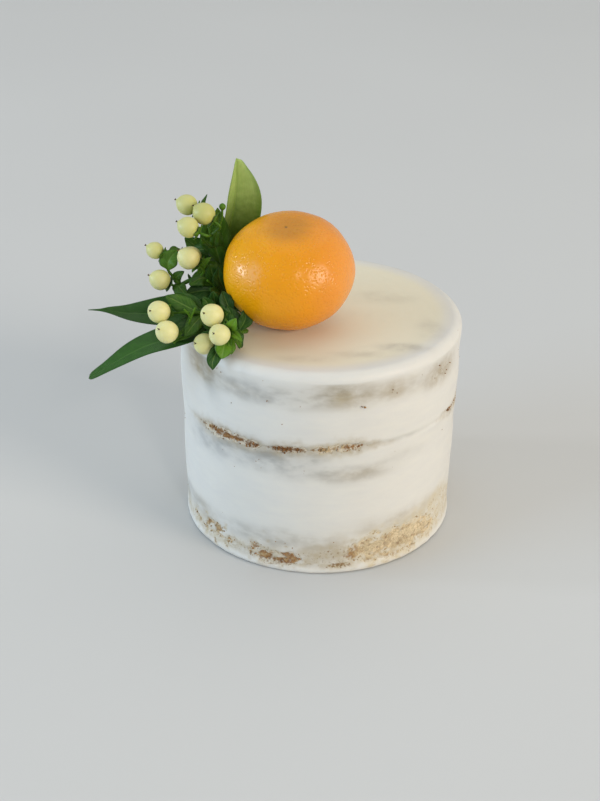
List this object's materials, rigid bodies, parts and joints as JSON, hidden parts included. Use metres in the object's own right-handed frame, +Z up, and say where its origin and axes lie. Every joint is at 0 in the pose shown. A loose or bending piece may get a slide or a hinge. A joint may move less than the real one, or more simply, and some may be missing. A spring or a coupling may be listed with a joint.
{
  "type": "naked cake",
  "caption": "Round naked layer cake in a thin scraped buttercream coat, topped with a mandarin and hypericum sprigs of pale berries and leaves.",
  "frame": {"origin": "centre of the cake's flat base, on the surface it stands on", "axes": "+Z up through the cake; -Y is the side seen in the picture, with +X to its right"},
  "size_m": [0.1984, 0.153, 0.1983],
  "materials": {
    "sponge": "open browned sponge crumb, fully matte",
    "buttercream": "smooth scraped buttercream, soft satin",
    "mandarin_peel": "pored waxy citrus peel, soft gloss",
    "berry_skin": "smooth waxy berry skin, satin",
    "hypericum_green": "green stems, sepals and small leaves, satin",
    "dark_leaf": "dark green leaf with a soft sheen",
    "pale_leaf": "yellow-green leaf with fine parallel veins"
  },
  "bodies": {
    "root": {"sponge_bottom": "sponge", "filling_lower": "buttercream", "sponge_middle": "sponge", "filling_upper": "buttercream", "sponge_top": "sponge", "buttercream_coat": "buttercream", "mandarin": "mandarin_peel", "berry_01": "berry_skin", "berry_02": "berry_skin", "berry_03": "berry_skin", "berry_04": "berry_skin", "berry_05": "berry_skin", "berry_06": "berry_skin", "berry_07": "berry_skin", "berry_08": "berry_skin", "berry_09": "berry_skin", "berry_10": "berry_skin", "berry_11": "berry_skin", "berry_12": "berry_skin", "sprig_upper": "hypericum_green", "sprig_middle": "hypericum_green", "sprig_left": "hypericum_green", "sprig_front": "hypericum_green", "leaf_upright": "pale_leaf", "leaf_long": "dark_leaf", "leaf_low": "dark_leaf"}
  },
  "joints": []
}
